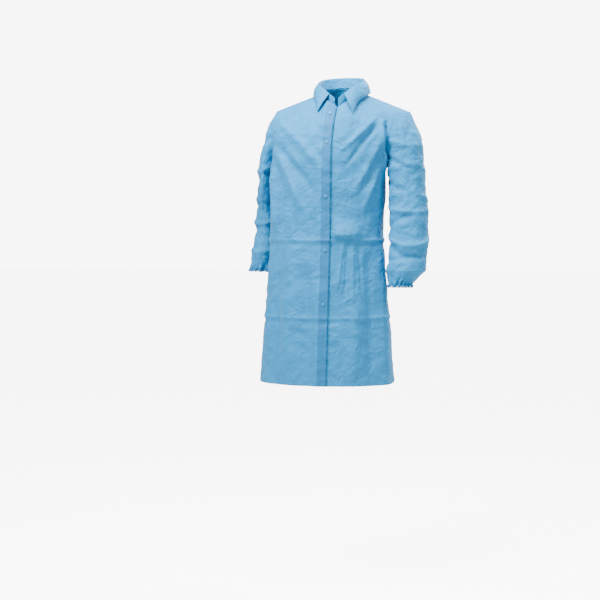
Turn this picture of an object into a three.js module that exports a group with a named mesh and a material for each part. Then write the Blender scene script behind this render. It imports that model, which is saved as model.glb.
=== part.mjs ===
// A knee-length disposable lab coat of thin non-woven cloth, hanging as it does on its wearer.
// Millimetres, +Z up. The front faces -Y and +X is the wearer's left.
// The origin lies between the two points where the shoulders meet the neck, which carry the coat.
// The wearer's right front lies over the left one, and press snaps hold them together.
import * as THREE from "three";

// Cloth and clearances
const clothThickness = 1.2;
const facingThickness = 1.0;
const layerGap = 0.3; // between two layers that lie on each other
const seamGap = 1.2; // between the edges of two panels that meet at an angle
const sideSeamGap = 0.5; // between the front and the back at the side, where they lie in line
const armholeGap = 1.5; // between the sleeve's head and the panels that it is sewn to
const collarSeamGap = 2.2; // between the stand and the panels that it is sewn to
const frontSplitGap = 0.8; // between a skirt front and the upper front that it hangs from

// Heights, measured down from the origin
const coatLength = 945;
const waistDrop = 470; // where the skirt fronts begin, with straight side seams from here to the hem
const underarmDrop = 235;
const shoulderDrop = { right: 57, left: 68 };

// Widths (X) and depths (Y) of the body
const shoulderWidth = 444;
const chestWidth = 378;
const chestDepth = 260;
const waistWidth = 374;
const waistDepth = 256;
const hemWidth = 442;
const hemDepth = 302;
const chestShift = -40; // the wearer leans, so the lower body lies towards their right
const waistShift = -48;
const bodyForward = -14;
const shoulderBack = 12;
const armholeFront = 58; // how far the armhole bows forwards and backwards
const armholeRear = 54;
const frontPullIn = 30; // how far the armholes cut in towards the chest and the shoulder blades
const backPullIn = 24;
const chestFullness = 8;
const backFullness = 14;
const fullestShare = 0.3; // share of the way from the shoulder to the underarm where a panel bows most

// Neck and collar
const neckWidth = 130;
const neckDepth = 140;
const neckForward = -8;
const neckFrontDrop = 59;
const neckBackRise = 14;
const neckRiseExponent = 0.4; // under 1, so the seam rises soonest beside the front
const frontnessExponent = 6; // so that only the collar's front ends are lower
const standHeight = 37;
const standFrontHeight = 27;
const foldSpread = 1.12; // the fold line's width over the neck seam's
const collarOpening = 5; // half the gap between the two ends of the stand
const wingOpening = 21; // half the gap between the two wings at the fold line
const wingTip = { across: 58, forward: 100, drop: 70 };
const wingSide = { across: 72, forward: 66, drop: 35 };
const leafSide = { across: 94, forward: 5, drop: 8 };
const leafRear = { across: 62, back: 68, rise: 3 };
const leafBack = { back: 92, rise: 0 };
const leafBow = 5;

// Placket and snaps
const placketWidth = 28;
const placketTop = 0; // X of the over front's free edge at the neck and at the hem
const placketHem = -13;
const topSnapDrop = 79;
const chestSnapDrop = 170;
const snapPitch = 171.5;
const chestSnapCount = 4; // the snaps below the top one, at an even pitch
const snapDiameter = 11;
const snapFlange = 1.2; // thickness of the stud's flange and of the back ring
const snapGap = 0.4; // between a snap's pieces and the cloth they are pressed into
const snapCapHeight = 1.7;
const postDiameter = 4;
const postHeight = 1.3;
const socketHeight = 1.8;
const socketBore = 5.4;
const socketDepth = 1.4;
// Shares of the snap's radius, and of the cap's height where its straight rim ends
const capTopShare = 0.75;
const capRimShare = 0.45;
const socketMouthShare = 0.8;
const flangeShare = 0.95;
const ringShare = 0.9;

// Sleeves: each key gives the clearance to the body's side, the width (X), the depth (Y), and Y of the middle
const sleeveKeys = {
  left: [
    { drop: 295, clearance: 8, width: 120, depth: 126, middle: -4 },
    { drop: 400, clearance: 22, width: 126, depth: 124, middle: -18 },
    { drop: 495, clearance: 30, width: 124, depth: 120, middle: -34 },
    { drop: 578, clearance: 16, width: 128, depth: 122, middle: -50 },
    { drop: 612, clearance: 26, width: 76, depth: 88, middle: -58 },
    { drop: 630, clearance: 30, width: 64, depth: 80, middle: -60 },
  ],
  right: [
    { drop: 295, clearance: 8, width: 50, depth: 134, middle: 24 },
    { drop: 390, clearance: 8, width: 78, depth: 120, middle: 56 },
    { drop: 470, clearance: 11, width: 86, depth: 116, middle: 64 },
    { drop: 540, clearance: 14, width: 87, depth: 110, middle: 58 },
    { drop: 570, clearance: 25, width: 74, depth: 84, middle: 52 },
    { drop: 587, clearance: 31, width: 66, depth: 76, middle: 50 },
  ],
};
const sleeveHeadShare = 0.36; // share of the sleeve's rows between the armhole and the first key
const sleeveHeadDrop = 0.35; // how far down towards that key the sleeve's head curves over
const casingStart = 0.93; // shares of the sleeve's rows where the casing and its elastic lie
const elasticStart = 0.965;
const elasticEnd = 0.99;

// Shares of a panel's width or height
const placketShare = 0.1;
const rampShare = 0.07; // beside the placket, where the over front rises over the under one
const shoulderShare = 0.66; // where the shoulder ends and the neck begins
const bodyShare = 0.45; // where the underarm is on an upper front
const backBodyShare = 0.62; // and on the back

// Rows and columns of each grid
const shoulderColumns = 6;
const neckColumns = 4;
const bodyRows = 4;
const skirtRows = 7;
const backRows = 10;
const yokeRows = 8;
const collarColumns = 24;
const sleeveColumns = 18;
const sleeveHeadRows = 6;
const sleeveRows = 9;
const placketColumns = 3;
const standRowCount = 2;
const leafRows = 3;
const snapSides = 12;
const ringSamples = 12; // samples over a sleeve ring's inner half

const snapAcross = 1 - placketShare / 2;
const snapMargin = 0.6 * snapDiameter; // half the height of the flat facet under a snap
const snapDrops = [topSnapDrop];
for (let i = 0; i < chestSnapCount; i++) snapDrops.push(chestSnapDrop + i * snapPitch);

const colours = {
  cloth: 0x54aadc,
  facing: 0x3b9cc9,
  elastic: 0xd6e4ea,
  snap: 0x4fa6d6,
};

const lerp = THREE.MathUtils.lerp;
const smooth = THREE.MathUtils.smoothstep;
const sideSign = { left: 1, right: -1 };

// Evenly spaced values from one to another.
function steps(from, to, count) {
  return Array.from({ length: count + 1 }, (_, i) => lerp(from, to, i / count));
}

// ---- the body's cross-sections ----

// The elliptical section of the body at a height.
function sectionAt(height) {
  const drop = -height;
  if (drop < waistDrop) {
    const share = smooth(drop, underarmDrop, waistDrop);
    return {
      halfWidth: lerp(chestWidth, waistWidth, share) / 2,
      halfDepth: lerp(chestDepth, waistDepth, share) / 2,
      shift: lerp(chestShift, waistShift, share),
    };
  }
  const share = (drop - waistDrop) / (coatLength - waistDrop);
  return {
    halfWidth: lerp(waistWidth, hemWidth, share) / 2,
    halfDepth: lerp(waistDepth, hemDepth, share) / 2,
    shift: waistShift,
  };
}

// A point of that section: 0 is the left side seam, a quarter turn is the front, a half turn the right seam.
function sectionPoint(height, angle) {
  const { halfWidth, halfDepth, shift } = sectionAt(height);
  return new THREE.Vector3(
    shift + halfWidth * Math.cos(angle),
    bodyForward - halfDepth * Math.sin(angle),
    height,
  );
}

// How far out the body reaches on one side, at a height and a depth.
function bodySideAt(side, height, y) {
  const { halfWidth, halfDepth, shift } = sectionAt(height);
  const across = Math.sqrt(Math.max(0, 1 - ((y - bodyForward) / halfDepth) ** 2));
  return shift + sideSign[side] * halfWidth * across;
}

// The two edges of the placket, first the one that a front reaches first from its side seam. The over
// front ends at the placket's left edge, and the under front at its right edge.
function placketEdges(side, height) {
  const left = lerp(placketTop, placketHem, -height / coatLength);
  const edges = [left - placketWidth, left];
  return side === "right" ? edges : edges.reverse();
}

// A value along a front: from the side seam to the placket, and then across the placket.
function alongFront(share, seam, [placketStart, placketEnd]) {
  const before = 1 - placketShare;
  if (share <= before) return lerp(seam, placketStart, share / before);
  return lerp(placketStart, placketEnd, (share - before) / placketShare);
}

// The angle in the section at a share of a front's width.
function frontAngle(side, height, share) {
  const { halfWidth, shift } = sectionAt(height);
  const angles = placketEdges(side, height).map((x) => Math.acos((x - shift) / halfWidth));
  return alongFront(share, side === "left" ? 0 : Math.PI, angles);
}

// ---- the neck and the shoulders ----

// The neck seam: -90 degrees is the front, 0 the left side and 90 the back.
function neckPoint(degrees) {
  const angle = THREE.MathUtils.degToRad(degrees);
  const rise = Math.max(0, (1 + Math.sin(angle)) / 2) ** neckRiseExponent;
  return new THREE.Vector3(
    (neckWidth / 2) * Math.cos(angle),
    neckForward + (neckDepth / 2) * Math.sin(angle),
    lerp(-neckFrontDrop, neckBackRise, rise),
  );
}

function shoulderTip(side) {
  return new THREE.Vector3((sideSign[side] * shoulderWidth) / 2, shoulderBack, -shoulderDrop[side]);
}

// The angle on the neck seam where a distance across the front is reached.
function neckFrontDegrees(x) {
  return -THREE.MathUtils.radToDeg(Math.acos(x / (neckWidth / 2)));
}

// The top edge of half the back: along the shoulder to the neck, and then round the neck.
function backTopEdge(side, share) {
  const neckStart = side === "left" ? 0 : 180;
  if (share < shoulderShare)
    return shoulderTip(side).lerp(neckPoint(neckStart), share / shoulderShare);
  return neckPoint(lerp(neckStart, 90, (share - shoulderShare) / (1 - shoulderShare)));
}

// The top edge of a front: along the shoulder, round the neck and across the placket.
function frontTopEdge(side, share) {
  const neckStart = side === "left" ? 0 : -180;
  if (share < shoulderShare)
    return shoulderTip(side).lerp(neckPoint(neckStart), share / shoulderShare);
  const degrees = placketEdges(side, 0).map(neckFrontDegrees);
  const before = 1 - placketShare;
  if (share <= before)
    return neckPoint(lerp(neckStart, degrees[0], (share - shoulderShare) / (before - shoulderShare)));
  return neckPoint(lerp(degrees[0], degrees[1], (share - before) / placketShare));
}

// ---- surfaces: at(u, v) gives a point, and turn makes the normal point out of the coat ----

function surfaceNormal(surface, u, v) {
  const step = 2e-3;
  const du = surface
    .at(Math.min(1, u + step), v)
    .sub(surface.at(Math.max(0, u - step), v));
  const dv = surface
    .at(u, Math.min(1, v + step))
    .sub(surface.at(u, Math.max(0, v - step)));
  return du.cross(dv).multiplyScalar(surface.turn).normalize();
}

// The same surface, moved out by a distance that may change over it.
function lifted(surface, lift) {
  return {
    turn: surface.turn,
    at: (u, v) => {
      const out = typeof lift === "function" ? lift(u, v) : lift;
      return surface.at(u, v).addScaledVector(surfaceNormal(surface, u, v), out);
    },
  };
}

// The part of a panel between the section at the underarm and its top edge.
function yokeCurve(foot, top, middleY, pullIn, v) {
  const control = new THREE.Vector3(
    (foot.x + top.x) / 2 + pullIn,
    middleY,
    lerp(top.z, foot.z, fullestShare),
  );
  return new THREE.QuadraticBezierCurve3(foot, control, top).getPoint(v);
}

function upperFront(side) {
  return {
    turn: -sideSign[side],
    at: (u, v) => {
      const height = lerp(-waistDrop, -underarmDrop, Math.min(1, v / bodyShare));
      const foot = sectionPoint(height, frontAngle(side, height, u));
      if (v <= bodyShare) return foot;
      const inward = Math.min(1, u / (1 - placketShare));
      const middleY = bodyForward - 2 * armholeFront - chestFullness * inward;
      const pullIn = -frontPullIn * sideSign[side] * (1 - inward) ** 2;
      const rise = (v - bodyShare) / (1 - bodyShare);
      return yokeCurve(foot, frontTopEdge(side, u), middleY, pullIn, rise);
    },
  };
}

function skirtFront(side) {
  return {
    turn: -sideSign[side],
    at: (u, v) => {
      const height = lerp(-coatLength, -waistDrop, v);
      return sectionPoint(height, frontAngle(side, height, u));
    },
  };
}

function backSurface() {
  return {
    turn: 1,
    at: (u, v) => {
      const height = lerp(-coatLength, -underarmDrop, Math.min(1, v / backBodyShare));
      const foot = sectionPoint(height, -Math.PI * u);
      if (v <= backBodyShare) return foot;
      const side = u < 0.5 ? "left" : "right";
      const inward = 1 - Math.abs(1 - 2 * u);
      const middleY = 2 * armholeRear + backFullness * inward;
      const pullIn = -backPullIn * sideSign[side] * (1 - inward) ** 2;
      const rise = (v - backBodyShare) / (1 - backBodyShare);
      return yokeCurve(foot, backTopEdge(side, inward), middleY, pullIn, rise);
    },
  };
}

const fronts = {
  left: { upper: upperFront("left"), skirt: skirtFront("left") },
  right: { upper: upperFront("right"), skirt: skirtFront("right") },
};
const back = backSurface();

// The armhole: 0 is the underarm, then up the front to the shoulder tip at 0.5 and down the back.
function armholePoint(side, share) {
  if (share <= 0.5) return fronts[side].upper.at(0, lerp(bodyShare, 1, share * 2));
  return back.at(side === "left" ? 0 : 1, lerp(1, backBodyShare, share * 2 - 1));
}

// A sleeve's ring at a key that may lie between two keys.
function sleeveRing(side, position, share) {
  const keys = sleeveKeys[side];
  const index = Math.min(keys.length - 2, Math.floor(position));
  const part = position - index;
  const value = (name) => lerp(keys[index][name], keys[index + 1][name], part);
  const height = -value("drop");
  // How far a point of the ring lies out from the ring's inner side, and its depth.
  const out = (angle) => (value("width") * (1 - Math.cos(angle))) / 2;
  const depth = (angle) => value("middle") - (value("depth") / 2) * Math.sin(angle);
  const needed = steps(-Math.PI / 2, Math.PI / 2, ringSamples).map(
    (angle) => sideSign[side] * bodySideAt(side, height, depth(angle)) - out(angle),
  );
  const inner = Math.max(...needed) + value("clearance");
  const angle = 2 * Math.PI * share;
  return new THREE.Vector3(sideSign[side] * (inner + out(angle)), depth(angle), height);
}

function sleeveSurface(side) {
  return {
    turn: sideSign[side],
    at: (u, v) => {
      const share = THREE.MathUtils.euclideanModulo(u, 1);
      if (v >= sleeveHeadShare) {
        const last = sleeveKeys[side].length - 1;
        return sleeveRing(side, ((v - sleeveHeadShare) / (1 - sleeveHeadShare)) * last, share);
      }
      const start = armholePoint(side, share);
      start.x += sideSign[side] * armholeGap;
      const end = sleeveRing(side, 0, share);
      const control = new THREE.Vector3(end.x, end.y, lerp(start.z, end.z, sleeveHeadDrop));
      return new THREE.QuadraticBezierCurve3(start, control, end).getPoint(v / sleeveHeadShare);
    },
  };
}

// ---- collar surfaces, round the neck from the right front end to the left one ----

function foldPoint(degrees) {
  const point = neckPoint(degrees);
  const frontness = Math.max(0, -Math.sin(THREE.MathUtils.degToRad(degrees))) ** frontnessExponent;
  point.x *= foldSpread;
  point.y = neckForward + (point.y - neckForward) * lerp(foldSpread, 1, frontness);
  point.z += lerp(standHeight, standFrontHeight, frontness);
  return point;
}

function roundNeck(halfOpening, u) {
  const margin = THREE.MathUtils.radToDeg(Math.asin(halfOpening / (neckWidth / 2)));
  return lerp(-90 - margin, -450 + margin, u);
}

const standSurface = {
  turn: -1,
  at: (u, v) => {
    const degrees = roundNeck(collarOpening, u);
    return neckPoint(degrees).lerp(foldPoint(degrees), v);
  },
};

const leafEdge = new THREE.CatmullRomCurve3(
  [
    new THREE.Vector3(-wingTip.across, -wingTip.forward, -wingTip.drop),
    new THREE.Vector3(-wingSide.across, -wingSide.forward, -wingSide.drop),
    new THREE.Vector3(-leafSide.across, -leafSide.forward, -leafSide.drop),
    new THREE.Vector3(-leafRear.across, leafRear.back, leafRear.rise),
    new THREE.Vector3(0, leafBack.back, leafBack.rise),
    new THREE.Vector3(leafRear.across, leafRear.back, leafRear.rise),
    new THREE.Vector3(leafSide.across, -leafSide.forward, -leafSide.drop),
    new THREE.Vector3(wingSide.across, -wingSide.forward, -wingSide.drop),
    new THREE.Vector3(wingTip.across, -wingTip.forward, -wingTip.drop),
  ],
  false,
  "centripetal",
);

const leafSurface = {
  turn: 1,
  at: (u, v) => {
    const fold = foldPoint(roundNeck(wingOpening, u));
    const out = new THREE.Vector3(fold.x, fold.y - neckForward, 0).normalize();
    const start = fold.addScaledVector(out, clothThickness + layerGap);
    const bow = leafBow * Math.sin(Math.PI * v);
    return start.lerp(leafEdge.getPointAt(u), v).addScaledVector(out, bow);
  },
};

const heightHalvings = 40;

// The row of a surface where it reaches a height.
function rowAtHeight(surface, u, height) {
  let [low, high] = [0, 1];
  for (let i = 0; i < heightHalvings; i++) {
    const middle = (low + high) / 2;
    if (surface.at(u, middle).z < height) low = middle;
    else high = middle;
  }
  return low;
}

// ---- solids ----

function signedVolume(positions, indices) {
  const corner = (i) => new THREE.Vector3().fromArray(positions, 3 * i);
  let volume = 0;
  for (let i = 0; i < indices.length; i += 3) {
    const [a, b, c] = [0, 1, 2].map((k) => corner(indices[i + k]));
    volume += a.dot(b.cross(c)) / 6;
  }
  return volume;
}

// Cloth as a closed solid, with half its thickness on each side of the surface, through the points at
// the given values of u and v. A ring closes on itself: its last value of u is its first one again.
function sheetGeometry(surface, us, vs, thickness, ring = false) {
  const columns = us.length - 1;
  const rows = vs.length - 1;
  const across = ring ? columns : columns + 1;
  const layer = across * (rows + 1);
  const positions = [];
  for (const half of [thickness / 2, -thickness / 2])
    for (let row = 0; row <= rows; row++)
      for (let column = 0; column < across; column++) {
        const normal = surfaceNormal(surface, us[column], vs[row]);
        const point = surface.at(us[column], vs[row]);
        positions.push(...point.addScaledVector(normal, half).toArray());
      }
  const corner = (side, row, column) => side * layer + row * across + (column % across);
  const indices = [];
  const quad = (a, b, c, d) => indices.push(a, b, c, a, c, d);
  for (let row = 0; row < rows; row++)
    for (let column = 0; column < columns; column++) {
      const square = [
        [row, column],
        [row, column + 1],
        [row + 1, column + 1],
        [row + 1, column],
      ];
      quad(...square.map(([r, c]) => corner(0, r, c)));
      quad(...square.reverse().map(([r, c]) => corner(1, r, c)));
    }
  for (let column = 0; column < columns; column++) {
    quad(corner(1, 0, column), corner(1, 0, column + 1), corner(0, 0, column + 1), corner(0, 0, column));
    quad(
      corner(0, rows, column),
      corner(0, rows, column + 1),
      corner(1, rows, column + 1),
      corner(1, rows, column),
    );
  }
  if (!ring)
    for (let row = 0; row < rows; row++) {
      quad(corner(0, row, 0), corner(0, row + 1, 0), corner(1, row + 1, 0), corner(1, row, 0));
      quad(
        corner(1, row, columns),
        corner(1, row + 1, columns),
        corner(0, row + 1, columns),
        corner(0, row, columns),
      );
    }
  if (signedVolume(positions, indices) < 0)
    for (let i = 0; i < indices.length; i += 3)
      [indices[i + 1], indices[i + 2]] = [indices[i + 2], indices[i + 1]];
  const geometry = new THREE.BufferGeometry();
  geometry.setAttribute("position", new THREE.Float32BufferAttribute(positions, 3));
  geometry.setIndex(indices);
  geometry.computeVertexNormals();
  return geometry;
}

function material(colour) {
  return new THREE.MeshStandardMaterial({ color: colour, roughness: 0.75, metalness: 0 });
}

const coat = new THREE.Group();

function addPiece(name, geometry, colour = colours.cloth) {
  const mesh = new THREE.Mesh(geometry, material(colour));
  mesh.name = name;
  coat.add(mesh);
  return mesh;
}

// ---- the pieces ----

// Share of a length that a distance takes.
const shareOf = (distance, length) => distance / length;

const frontArc = placketWidth / placketShare; // about how long a front is, from side seam to edge
const overLift =
  clothThickness + facingThickness + layerGap + snapFlange + socketHeight + 3 * snapGap;

// The over front lies on the body at its side, and rises over the under front at the placket.
function overFrontLift(u) {
  return overLift * smooth(u, 1 - placketShare - rampShare, 1 - placketShare);
}

function raised(surface, side) {
  return side === "right" ? lifted(surface, overFrontLift) : surface;
}

// The placket's columns are the same on the front and on its facing, so that their facets stay parallel.
function addFront(side, part, surface, rows) {
  const seam = shareOf(sideSeamGap / 2, frontArc);
  const placket = steps(1 - placketShare, 1, placketColumns);
  const plain = [
    ...steps(seam, shoulderShare, shoulderColumns).slice(0, -1),
    ...steps(shoulderShare, 1 - placketShare - rampShare, neckColumns),
  ];
  const cloth = raised(surface, side);
  addPiece(`${side}_front_${part}`, sheetGeometry(cloth, [...plain, ...placket], rows, clothThickness));
  const facing = lifted(cloth, -(clothThickness + facingThickness) / 2 - layerGap);
  addPiece(
    `${side}_placket_facing_${part}`,
    sheetGeometry(facing, placket, rows, facingThickness),
    colours.facing,
  );
}

// Rows on both sides of each snap, so that it lies on a flat facet.
function snapRows(surface, low, high) {
  const inside = snapDrops.filter((drop) => drop > low && drop < high);
  const edges = inside.flatMap((drop) => [drop - snapMargin, drop + snapMargin]);
  return edges.map((drop) => rowAtHeight(surface, snapAcross, -drop));
}

const split = shareOf(frontSplitGap, waistDrop);
const neckSeam = shareOf(collarSeamGap, underarmDrop) * (1 - bodyShare);
const ascending = (values) => values.sort((a, b) => a - b);
for (const side of ["right", "left"]) {
  const { upper, skirt } = fronts[side];
  const upperRows = [
    ...steps(split, bodyShare, bodyRows).slice(0, -1),
    ...steps(bodyShare, 1 - neckSeam, yokeRows),
    ...snapRows(upper, 0, waistDrop),
  ];
  addFront(side, "upper", upper, ascending(upperRows));
  const skirtRowValues = [...steps(0, 1, skirtRows), ...snapRows(skirt, waistDrop, coatLength)];
  addFront(side, "skirt", skirt, ascending(skirtRowValues));
}

const sideSeam = shareOf(sideSeamGap / 2, 2 * frontArc);
const backTop = 1 - shareOf(seamGap, underarmDrop) * (1 - backBodyShare);
const backRowValues = [
  ...steps(0, backBodyShare, backRows).slice(0, -1),
  ...steps(backBodyShare, backTop, yokeRows),
];
const [neckLeft, neckRight] = [shoulderShare / 2, 1 - shoulderShare / 2];
const backColumnValues = [
  ...steps(sideSeam, neckLeft, shoulderColumns).slice(0, -1),
  ...steps(neckLeft, neckRight, 2 * neckColumns).slice(0, -1),
  ...steps(neckRight, 1 - sideSeam, shoulderColumns),
];
addPiece("back_panel", sheetGeometry(back, backColumnValues, backRowValues, clothThickness));

const standRows = steps(shareOf(collarSeamGap, standHeight), 1, standRowCount);
addPiece("collar_stand", sheetGeometry(standSurface, steps(0, 1, collarColumns), standRows, clothThickness));
addPiece(
  "collar_leaf",
  sheetGeometry(leafSurface, steps(0, 1, collarColumns), steps(0, 1, leafRows), clothThickness),
);

function addSleeve(side) {
  const surface = sleeveSurface(side);
  const round = steps(0, 1, sleeveColumns);
  const rows = [
    ...steps(0, sleeveHeadShare, sleeveHeadRows).slice(0, -1),
    ...steps(sleeveHeadShare, casingStart, sleeveRows),
    elasticStart,
    elasticEnd,
    1,
  ];
  addPiece(`${side}_sleeve`, sheetGeometry(surface, round, rows, clothThickness, true));
  const elasticDepth = -(clothThickness + facingThickness) / 2 - layerGap;
  const casingDepth = elasticDepth - (clothThickness + facingThickness) / 2 - layerGap;
  addPiece(
    `${side}_cuff_elastic`,
    sheetGeometry(lifted(surface, elasticDepth), round, [elasticStart, elasticEnd], facingThickness, true),
    colours.elastic,
  );
  const casingRows = [casingStart, elasticStart, elasticEnd, 1];
  addPiece(
    `${side}_cuff_casing`,
    sheetGeometry(lifted(surface, casingDepth), round, casingRows, clothThickness, true),
    colours.facing,
  );
}

addSleeve("right");
addSleeve("left");

// ---- press snaps: cap and socket on the over front, stud and back ring on the under front ----

const snapRadius = snapDiameter / 2;

// A round piece from its outline, with its own axis along the snap's.
function turned(outline) {
  const points = outline.map(([radius, height]) => new THREE.Vector2(radius, height));
  const geometry = new THREE.LatheGeometry(points, snapSides);
  return geometry.rotateX(Math.PI / 2);
}

const capGeometry = () =>
  turned([
    [0, 0],
    [snapRadius, 0],
    [snapRadius, snapCapHeight * capRimShare],
    [snapRadius * capTopShare, snapCapHeight],
    [0, snapCapHeight],
  ]);

const socketGeometry = () =>
  turned([
    [0, socketDepth],
    [socketBore / 2, socketDepth],
    [socketBore / 2, 0],
    [snapRadius * socketMouthShare, 0],
    [snapRadius * flangeShare, socketHeight],
    [0, socketHeight],
  ]);

const studGeometry = () =>
  turned([
    [0, 0],
    [snapRadius * flangeShare, 0],
    [snapRadius * flangeShare, snapFlange],
    [postDiameter / 2, snapFlange],
    [postDiameter / 2, snapFlange + postHeight],
    [0, snapFlange + postHeight],
  ]);

const ringGeometry = () =>
  turned([
    [0, -snapFlange],
    [snapRadius * ringShare, -snapFlange],
    [snapRadius * ringShare, 0],
    [0, 0],
  ]);

function placeOn(mesh, point, normal, distance) {
  mesh.position.copy(point).addScaledVector(normal, distance);
  mesh.quaternion.setFromUnitVectors(new THREE.Vector3(0, 0, 1), normal);
}

function addSnap(number, drop) {
  const surface = fronts.right[drop < waistDrop ? "upper" : "skirt"];
  const v = rowAtHeight(surface, snapAcross, -drop);
  const point = surface.at(snapAcross, v);
  const normal = surfaceNormal(surface, snapAcross, v);
  const clothTop = clothThickness / 2;
  const facingBottom = clothTop + layerGap + facingThickness;
  const pieces = [
    ["cap", capGeometry, overLift + clothTop + snapGap],
    ["socket", socketGeometry, overLift - facingBottom - snapGap - socketHeight],
    ["stud", studGeometry, clothTop + snapGap],
    ["back_ring", ringGeometry, -facingBottom - snapGap],
  ];
  for (const [name, geometry, distance] of pieces)
    placeOn(addPiece(`snap_${number}_${name}`, geometry(), colours.snap), point, normal, distance);
}

snapDrops.forEach((drop, i) => addSnap(i + 1, drop));

export default coat;
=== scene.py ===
"""A knee-length disposable lab coat of thin non-woven cloth, hanging as it does on its wearer.

Metres, +Z up, front facing -Y. The cloth pieces follow the same body, neck and sleeve curves as the solid
model, with folds and creases on top. The snaps and the cuff elastics are the solid model's own pieces.
"""

import math

import bmesh
import bpy
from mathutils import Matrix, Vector, noise


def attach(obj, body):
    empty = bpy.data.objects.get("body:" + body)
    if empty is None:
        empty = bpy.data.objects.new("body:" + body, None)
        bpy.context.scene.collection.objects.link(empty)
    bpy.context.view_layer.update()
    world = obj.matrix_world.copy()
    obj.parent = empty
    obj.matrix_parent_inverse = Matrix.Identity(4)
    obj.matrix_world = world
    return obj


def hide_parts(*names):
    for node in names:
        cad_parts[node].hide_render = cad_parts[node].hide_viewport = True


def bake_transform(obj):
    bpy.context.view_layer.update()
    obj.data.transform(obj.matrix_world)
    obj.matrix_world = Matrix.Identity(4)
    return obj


bl_info = {
    "name": "Lab Coat",
    "version": (1, 0, 0),
    "blender": (4, 5, 0),
    "location": "View3D > Sidebar > Lab Coat",
    "description": "Builds a disposable lab coat with its folds, collar, snaps and gathered cuffs",
    "category": "Object",
}

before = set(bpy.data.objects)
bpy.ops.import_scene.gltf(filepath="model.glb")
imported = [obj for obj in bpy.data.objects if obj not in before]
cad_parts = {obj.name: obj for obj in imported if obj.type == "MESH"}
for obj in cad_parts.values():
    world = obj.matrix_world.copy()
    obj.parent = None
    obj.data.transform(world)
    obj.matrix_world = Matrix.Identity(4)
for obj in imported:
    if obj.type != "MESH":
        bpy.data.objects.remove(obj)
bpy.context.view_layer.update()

# ---- the coat's sizes, in metres ----

COAT_LENGTH = 0.945
WAIST_DROP = 0.470
UNDERARM_DROP = 0.235
SHOULDER_DROP = {"left": 0.068, "right": 0.057}
SHOULDER_WIDTH = 0.444
CHEST = (0.378, 0.260, -0.040)  # width, depth and shift across
WAIST = (0.374, 0.256, -0.048)
HEM = (0.442, 0.302, -0.048)
BODY_FORWARD = -0.014
SHOULDER_BACK = 0.012
ARMHOLE_FRONT = 0.058
ARMHOLE_REAR = 0.054
FRONT_PULL_IN = 0.030
BACK_PULL_IN = 0.024
CHEST_FULLNESS = 0.008
BACK_FULLNESS = 0.014
FULLEST_SHARE = 0.3
NECK_WIDTH = 0.130
NECK_DEPTH = 0.140
NECK_FORWARD = -0.008
NECK_FRONT_DROP = 0.059
NECK_BACK_RISE = 0.014
NECK_RISE_EXPONENT = 0.4
FRONTNESS_EXPONENT = 6
STAND_HEIGHT = 0.037
STAND_FRONT_HEIGHT = 0.027
FOLD_SPREAD = 1.12
COLLAR_OPENING = 0.005
WING_OPENING = 0.021
PLACKET_WIDTH = 0.028
PLACKET_TOP = 0.0
PLACKET_HEM = -0.013
PLACKET_SHARE = 0.1
RAMP_SHARE = 0.07
SHOULDER_SHARE = 0.66
BODY_SHARE = 0.45  # where the underarm is on an upper front
BACK_BODY_SHARE = 0.62
SOLID_CLOTH = 0.0012  # the solid model's cloth
SOLID_FACING = 0.001
LAYER_GAP = 0.0003
OVER_LIFT = 0.0067
SLEEVE_HEAD_SHARE = 0.36
SLEEVE_HEAD_DROP = 0.35
CASING_START = 0.93
SIDE_SIGN = {"left": 1, "right": -1}
LEAF_EDGE = [  # half of the collar leaf's edge, from the wing's tip to the middle of the back
    (0.058, -0.100, -0.070),
    (0.072, -0.066, -0.035),
    (0.094, -0.005, -0.008),
    (0.062, 0.068, 0.003),
    (0.0, 0.092, 0.0),
]
LEAF_BOW = 0.005
# Each key: drop, clearance to the body's side, width, depth, Y of the middle
SLEEVE_KEYS = {
    "left": [
        (0.295, 0.008, 0.120, 0.126, -0.004),
        (0.400, 0.022, 0.126, 0.124, -0.018),
        (0.495, 0.030, 0.124, 0.120, -0.034),
        (0.578, 0.016, 0.128, 0.122, -0.050),
        (0.612, 0.026, 0.076, 0.088, -0.058),
        (0.630, 0.030, 0.064, 0.080, -0.060),
    ],
    "right": [
        (0.295, 0.008, 0.050, 0.134, 0.024),
        (0.390, 0.008, 0.078, 0.120, 0.056),
        (0.470, 0.011, 0.086, 0.116, 0.064),
        (0.540, 0.014, 0.087, 0.110, 0.058),
        (0.570, 0.025, 0.074, 0.084, 0.052),
        (0.587, 0.031, 0.066, 0.076, 0.050),
    ],
}


class CoatSettings(bpy.types.PropertyGroup):
    cloth_thickness: bpy.props.FloatProperty(
        name="Cloth thickness",
        description="Thickness of the shown cloth",
        default=0.0006,
        unit="LENGTH",
    )
    fold_depth: bpy.props.FloatProperty(
        name="Fold depth",
        description="How deep the folds are, as a factor",
        default=1.6,
        subtype="FACTOR",
    )
    cloth_colour: bpy.props.FloatVectorProperty(
        name="Cloth colour",
        description="Colour of the non-woven cloth",
        default=(0.0, 0.180, 0.400),
        subtype="COLOR",
        size=3,
    )
    # Darker than the cloth colour where the cloth is doubled: partly the deeper colour of two layers,
    # partly painted shade for the light that one layer lets through and two don't. It isn't put on
    # creases.
    doubled_shade_colour: bpy.props.FloatVectorProperty(
        name="Doubled colour with painted shade",
        description="Colour of the cloth where it's doubled, with painted shade",
        default=(0.0, 0.125, 0.300),
        subtype="COLOR",
        size=3,
    )


def settings():
    return bpy.context.scene.lab_coat


# ---- small helpers ----


def lerp(a, b, t):
    return a + (b - a) * t


def smooth(x, low, high):
    t = min(1.0, max(0.0, (x - low) / (high - low)))
    return t * t * (3 - 2 * t)


def bezier(a, b, c, t):
    return a * ((1 - t) ** 2) + b * (2 * t * (1 - t)) + c * (t * t)


def steps(low, high, count):
    return [lerp(low, high, i / count) for i in range(count + 1)]


# ---- the body's cross-sections ----


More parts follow.
